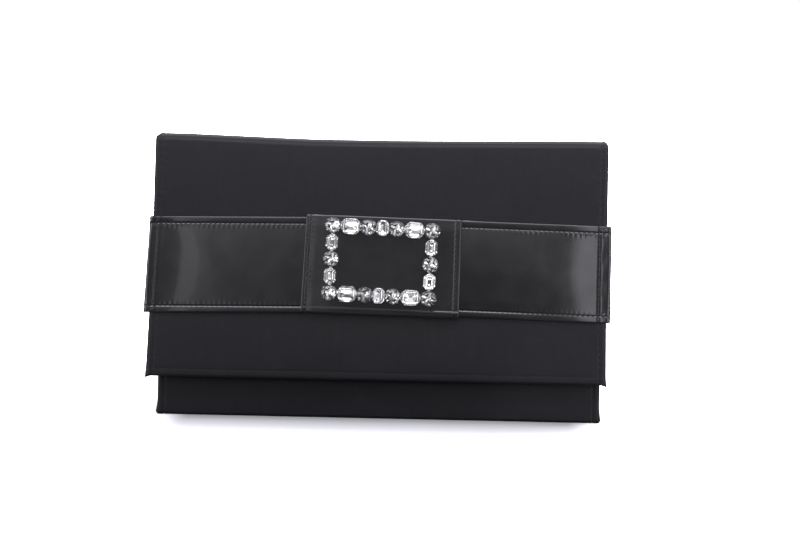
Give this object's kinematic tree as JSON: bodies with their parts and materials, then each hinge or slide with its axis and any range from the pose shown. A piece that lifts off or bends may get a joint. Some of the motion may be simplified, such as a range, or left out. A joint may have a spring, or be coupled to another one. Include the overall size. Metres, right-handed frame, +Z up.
{
  "type": "evening bag",
  "caption": "Flat foldover evening bag in satin with a front flap, a patent band across it, a wide keeper and a rectangular buckle ornament set with stones.",
  "frame": {"origin": "on the floor, under the middle of the closed bag's box", "axes": "+X along the bag's width to the right as seen from the front, +Y towards the back wall, +Z up; the flap faces -Y"},
  "size_m": [0.242, 0.0388, 0.143],
  "materials": {
    "black_satin": "woven satin over thin foam, soft sheen",
    "lining_satin": "thin woven lining, low sheen",
    "pulp_board": "dense grey pulp board",
    "black_patent": "glossy patent, folded and stitched",
    "silver_metal": "bright plated settings",
    "nickel_steel": "nickel-plated sheet steel",
    "ferrite": "matt sintered magnet",
    "crystal": "clear faceted glass with a foiled back"
  },
  "bodies": {
    "bag_body": {"back_cover": "black_satin", "back_board": "pulp_board", "back_lining": "lining_satin", "base_cover": "black_satin", "base_board": "pulp_board", "base_lining": "lining_satin", "gusset_left_rear": "black_satin", "gusset_right_rear": "black_satin", "slip_pocket": "lining_satin"},
    "front_wall": {"front_cover": "black_satin", "front_board": "pulp_board", "front_lining": "lining_satin", "gusset_left_front": "black_satin", "gusset_right_front": "black_satin", "snap_socket": "nickel_steel", "snap_magnet": "ferrite", "snap_back_plate": "nickel_steel", "snap_socket_washer": "nickel_steel"},
    "spine": {"spine_cover": "black_satin", "spine_board": "pulp_board", "spine_lining": "lining_satin"},
    "flap": {"flap_cover": "black_satin", "flap_board": "pulp_board", "flap_lining": "lining_satin", "band": "black_patent", "keeper": "black_patent", "buckle_frame": "silver_metal", "buckle_washers": "nickel_steel", "snap_stud": "nickel_steel", "snap_stud_washer": "nickel_steel", "round_stone_1": "crystal", "long_stone_2": "crystal", "round_stone_3": "crystal", "small_stone_4": "crystal", "round_stone_5": "crystal", "long_stone_6": "crystal", "round_stone_7": "crystal", "small_stone_8": "crystal", "round_stone_9": "crystal", "small_stone_10": "crystal", "round_stone_11": "crystal", "long_stone_12": "crystal", "round_stone_13": "crystal", "small_stone_14": "crystal", "round_stone_15": "crystal", "long_stone_16": "crystal", "round_stone_17": "crystal", "small_stone_18": "crystal", "round_stone_19": "crystal", "small_stone_20": "crystal"}
  },
  "joints": [
    {"name": "flap_spine", "type": "hinge", "parent": "bag_body", "child": "spine", "pos_m": [0, 0.0182, 0.1403], "axis": [-1, 0, 0], "range_deg": [0, 110]},
    {"name": "flap_fold", "type": "hinge", "parent": "spine", "child": "flap", "pos_m": [0, 0.00326, 0.1406], "axis": [-1, 0, 0], "range_deg": [0, 82.5]},
    {"name": "mouth", "type": "hinge", "parent": "bag_body", "child": "front_wall", "pos_m": [0, -0.0126, 0], "axis": [1, 0, 0], "range_deg": [0, 7.7]}
  ],
  "couplings": [
    {"joint": "flap_fold", "follows": "flap_spine", "ratio": 0.75},
    {"joint": "mouth", "follows": "flap_spine", "ratio": 0.07}
  ]
}
